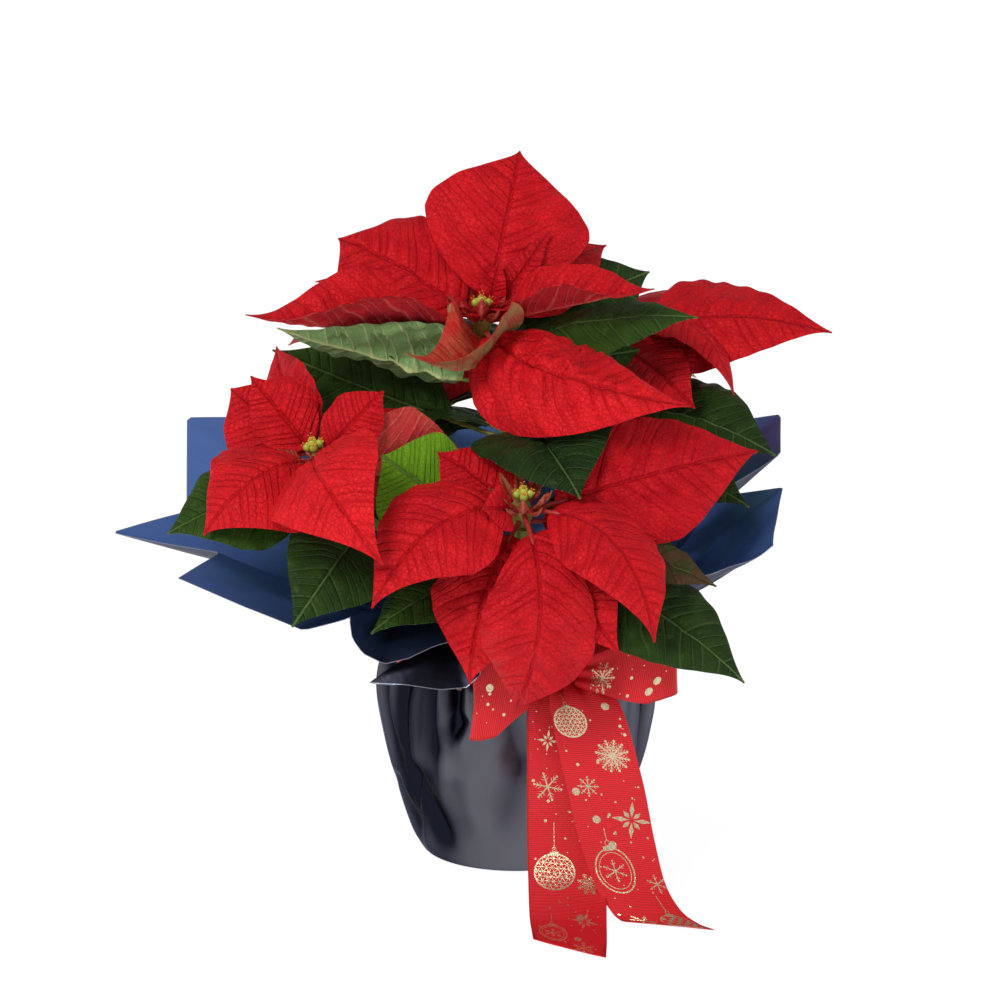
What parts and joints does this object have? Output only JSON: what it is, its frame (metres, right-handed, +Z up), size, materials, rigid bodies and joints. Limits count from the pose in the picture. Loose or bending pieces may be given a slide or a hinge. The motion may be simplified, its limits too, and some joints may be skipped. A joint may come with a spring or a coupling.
{
  "type": "potted poinsettia",
  "caption": "Red poinsettia in its nursery pot, wrapped in gathered dark florist film with a flared collar and tied with a wide red ribbon bow whose tails reach the floor.",
  "frame": {"origin": "centre of the wrapped pot's flat base, on the surface that it stands on", "axes": "+Z up, -Y towards the front, the side with the ribbon bow, +X to the right seen from the front"},
  "size_m": [0.3611, 0.3372, 0.3494],
  "materials": {
    "leaf": "living leaf, dark green, satin",
    "bract": "living bract, velvety bright red",
    "bud": "living bud, yellow-green",
    "film": "satin charcoal outside, navy blue inside",
    "ribbon": "red grosgrain with gold foil snowflakes, dots and baubles",
    "pot": "thin moulded terracotta-coloured plastic",
    "soil": "moist peat-based compost"
  },
  "bodies": {
    "root": {"stems_and_leaves": "leaf", "bracts_top": "bract", "bracts_left": "bract", "bracts_front": "bract", "bracts_right": "bract", "bracts_back": "bract", "buds_top": "bud", "buds_left": "bud", "buds_front": "bud", "buds_right": "bud", "buds_back": "bud", "film_wrap": "film", "ribbon": "ribbon", "pot": "pot", "soil": "soil"}
  },
  "joints": []
}
